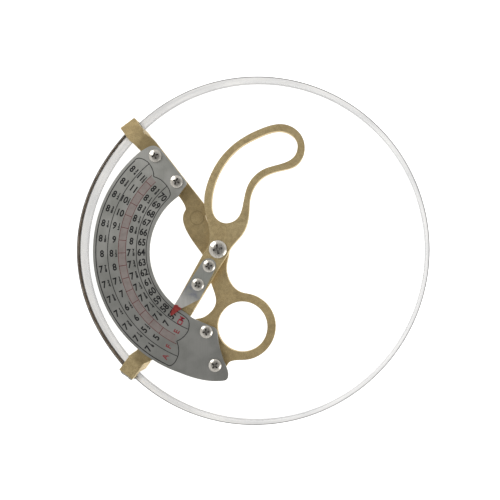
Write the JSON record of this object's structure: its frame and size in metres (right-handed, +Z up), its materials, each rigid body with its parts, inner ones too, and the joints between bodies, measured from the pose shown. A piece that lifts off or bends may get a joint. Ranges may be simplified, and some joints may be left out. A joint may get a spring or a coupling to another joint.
{
  "type": "hat size gauge",
  "caption": "Hat size gauge: two scissor levers with finger loops widen a springy steel ring while a pointer reads its circumference on a curved plate.",
  "frame": {"origin": "centre of the closed ring, on the surface that the gauge lies on", "axes": "+Z up, parallel to the pivot; +X from the blocks through the pivot to the far side of the ring; +Y towards the upper block"},
  "size_m": [0.1839, 0.182, 0.0264],
  "materials": {
    "cast_brass": "bead-blasted cast brass, dull, slightly rubbed at the edges",
    "scale_steel": "satin brushed plate with a printed scale",
    "pointer_steel": "satin plate with a red lacquered tip",
    "bright_nickel": "bright nickel plated, polished",
    "turned_brass": "fine turned brass",
    "keeper_steel": "bent bright steel strip",
    "spring_steel": "bright rolled spring steel with fine lengthwise lines"
  },
  "bodies": {
    "frame": {"frame_lever": "cast_brass", "scale_plate": "scale_steel", "plate_spacers": "turned_brass", "plate_screws": "bright_nickel", "pivot_screw": "bright_nickel", "pivot_washer": "turned_brass", "pivot_nut": "bright_nickel", "upper_rivets": "turned_brass", "band_end": "spring_steel"},
    "handle": {"handle_lever": "cast_brass", "pointer_plate": "pointer_steel", "pointer_screws": "bright_nickel", "band_keeper": "keeper_steel", "keeper_screws": "bright_nickel", "lower_rivets": "turned_brass"},
    "band_01": {"band_01": "spring_steel"},
    "band_02": {"band_02": "spring_steel"},
    "band_03": {"band_03": "spring_steel"},
    "band_04": {"band_04": "spring_steel"},
    "band_05": {"band_05": "spring_steel"},
    "band_06": {"band_06": "spring_steel"},
    "band_07": {"band_07": "spring_steel"},
    "band_08": {"band_08": "spring_steel"},
    "band_09": {"band_09": "spring_steel"},
    "band_10": {"band_10": "spring_steel"}
  },
  "joints": [
    {"name": "squeeze", "type": "hinge", "parent": "frame", "child": "handle", "pos_m": [-0.018, 0, 0.022], "axis": [0, 0, -1], "range_deg": [0, 99]},
    {"name": "band_bend_01", "type": "hinge", "parent": "frame", "child": "band_01", "pos_m": [-0.06528, 0.06415, 0.0075], "axis": [0, 0, -1], "range_deg": [0, 8.05]},
    {"name": "band_bend_02", "type": "hinge", "parent": "band_01", "child": "band_02", "pos_m": [-0.0925, 0.00728, 0.0075], "axis": [0, 0, -1], "range_deg": [0, 6.17]},
    {"name": "band_bend_03", "type": "hinge", "parent": "band_02", "child": "band_03", "pos_m": [-0.06976, -0.05958, 0.0075], "axis": [0, 0, -1], "range_deg": [0, 11.46]},
    {"name": "band_bend_04", "type": "hinge", "parent": "band_03", "child": "band_04", "pos_m": [0.00876, -0.09096, 0.0075], "axis": [0, 0, -1], "range_deg": [0, 9.87]},
    {"name": "band_bend_05", "type": "hinge", "parent": "band_04", "child": "band_05", "pos_m": [0.07922, -0.04482, 0.0075], "axis": [0, 0, -1], "range_deg": [0, 10.26]},
    {"name": "band_bend_06", "type": "hinge", "parent": "band_05", "child": "band_06", "pos_m": [0.08182, 0.03903, 0.0075], "axis": [0, 0, -1], "range_deg": [0, 11.07]},
    {"name": "band_bend_07", "type": "hinge", "parent": "band_06", "child": "band_07", "pos_m": [0.0149, 0.08905, 0.0075], "axis": [0, 0, -1], "range_deg": [0, 9.92]},
    {"name": "band_bend_08", "type": "hinge", "parent": "band_07", "child": "band_08", "pos_m": [-0.06414, 0.06303, 0.0075], "axis": [0, 0, -1], "range_deg": [0, 7.25]},
    {"name": "band_bend_09", "type": "hinge", "parent": "band_08", "child": "band_09", "pos_m": [-0.08788, 0.02272, 0.0075], "axis": [0, 0, -1], "range_deg": [0, 6.98]},
    {"name": "band_bend_10", "type": "hinge", "parent": "band_09", "child": "band_10", "pos_m": [-0.08737, -0.02423, 0.0075], "axis": [0, 0, -1], "range_deg": [0, 8.08]}
  ],
  "couplings": [
    {"joint": "band_bend_01", "follows": "squeeze", "ratio": 0.0812},
    {"joint": "band_bend_02", "follows": "squeeze", "ratio": 0.0622},
    {"joint": "band_bend_03", "follows": "squeeze", "ratio": 0.1157},
    {"joint": "band_bend_04", "follows": "squeeze", "ratio": 0.0996},
    {"joint": "band_bend_05", "follows": "squeeze", "ratio": 0.1035},
    {"joint": "band_bend_06", "follows": "squeeze", "ratio": 0.1117},
    {"joint": "band_bend_07", "follows": "squeeze", "ratio": 0.1001},
    {"joint": "band_bend_08", "follows": "squeeze", "ratio": 0.0731},
    {"joint": "band_bend_09", "follows": "squeeze", "ratio": 0.0704},
    {"joint": "band_bend_10", "follows": "squeeze", "ratio": 0.0815}
  ]
}
